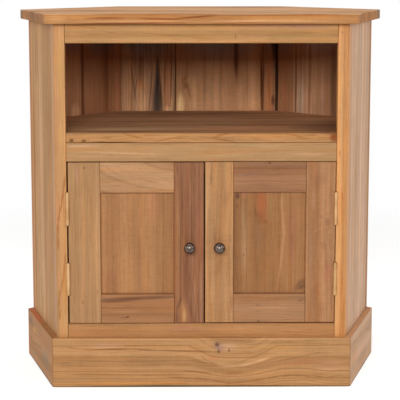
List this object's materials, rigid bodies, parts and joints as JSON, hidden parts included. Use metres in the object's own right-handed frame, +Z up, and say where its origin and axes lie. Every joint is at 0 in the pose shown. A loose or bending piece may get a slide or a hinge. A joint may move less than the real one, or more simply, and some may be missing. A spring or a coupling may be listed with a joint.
{
  "type": "corner cabinet",
  "caption": "Free-standing wooden corner cabinet with canted sides, an open shelf above and a cupboard with framed doors on butt hinges below, on a plinth.",
  "frame": {"origin": "on the floor, under the centre of the bounding box of the whole cabinet with its knobs", "axes": "+X to the right seen from the front, +Y from the front into the corner of the room, +Z up; the doors face -Y"},
  "size_m": [0.5996, 0.3614, 0.591],
  "materials": {
    "honey_teak": "fine sanded, oiled, honey brown teak",
    "orange_teak": "fine sanded, oiled, orange brown teak",
    "pale_teak": "fine sanded, pale pinkish teak",
    "brown_teak": "fine sanded, brown teak",
    "inner_teak": "plain sawn teak boards with a dry surface",
    "brass": "satin brass",
    "bronze": "dark antique bronze",
    "steel": "plain zinc-plated steel",
    "magnet_grey": "dark grey ferrite"
  },
  "bodies": {
    "carcass": {"top_board": "orange_teak", "left_stile": "honey_teak", "right_stile": "honey_teak", "top_rail": "honey_teak", "middle_rail": "honey_teak", "bottom_rail": "orange_teak", "left_side_panel": "pale_teak", "right_side_panel": "pale_teak", "left_wall_front_board": "inner_teak", "left_wall_rear_board": "inner_teak", "right_wall_front_board": "inner_teak", "right_wall_rear_board": "inner_teak", "back_left_board": "inner_teak", "back_middle_board": "inner_teak", "back_right_board": "inner_teak", "shelf": "honey_teak", "cupboard_floor": "inner_teak", "shelf_left_batten": "brown_teak", "shelf_right_batten": "brown_teak", "shelf_back_batten": "brown_teak", "floor_left_batten": "brown_teak", "floor_right_batten": "brown_teak", "floor_back_batten": "brown_teak", "plinth_front": "orange_teak", "plinth_left": "pale_teak", "plinth_right": "pale_teak", "door_stop_block": "brown_teak", "left_catch_magnet": "magnet_grey", "right_catch_magnet": "magnet_grey", "left_door_upper_hinge_frame_leaf": "brass", "left_door_upper_hinge_pin": "brass", "left_door_lower_hinge_frame_leaf": "brass", "left_door_lower_hinge_pin": "brass", "right_door_upper_hinge_frame_leaf": "brass", "right_door_upper_hinge_pin": "brass", "right_door_lower_hinge_frame_leaf": "brass", "right_door_lower_hinge_pin": "brass"},
    "left_door": {"left_door_hinge_stile": "honey_teak", "left_door_lock_stile": "honey_teak", "left_door_top_rail": "honey_teak", "left_door_bottom_rail": "honey_teak", "left_door_panel": "brown_teak", "left_door_knob": "bronze", "left_door_knob_bolt": "steel", "left_door_strike_plate": "steel", "left_door_upper_hinge_door_leaf": "brass", "left_door_lower_hinge_door_leaf": "brass"},
    "right_door": {"right_door_hinge_stile": "honey_teak", "right_door_lock_stile": "honey_teak", "right_door_top_rail": "honey_teak", "right_door_bottom_rail": "honey_teak", "right_door_panel": "brown_teak", "right_door_knob": "bronze", "right_door_knob_bolt": "steel", "right_door_strike_plate": "steel", "right_door_upper_hinge_door_leaf": "brass", "right_door_lower_hinge_door_leaf": "brass"}
  },
  "joints": [
    {"name": "left_door_hinge", "type": "hinge", "parent": "carcass", "child": "left_door", "pos_m": [-0.2104, -0.1578, 0.23], "axis": [0, 0, -1], "range_deg": [0, 170]},
    {"name": "right_door_hinge", "type": "hinge", "parent": "carcass", "child": "right_door", "pos_m": [0.2109, -0.1578, 0.23], "axis": [0, 0, 1], "range_deg": [0, 170]}
  ]
}
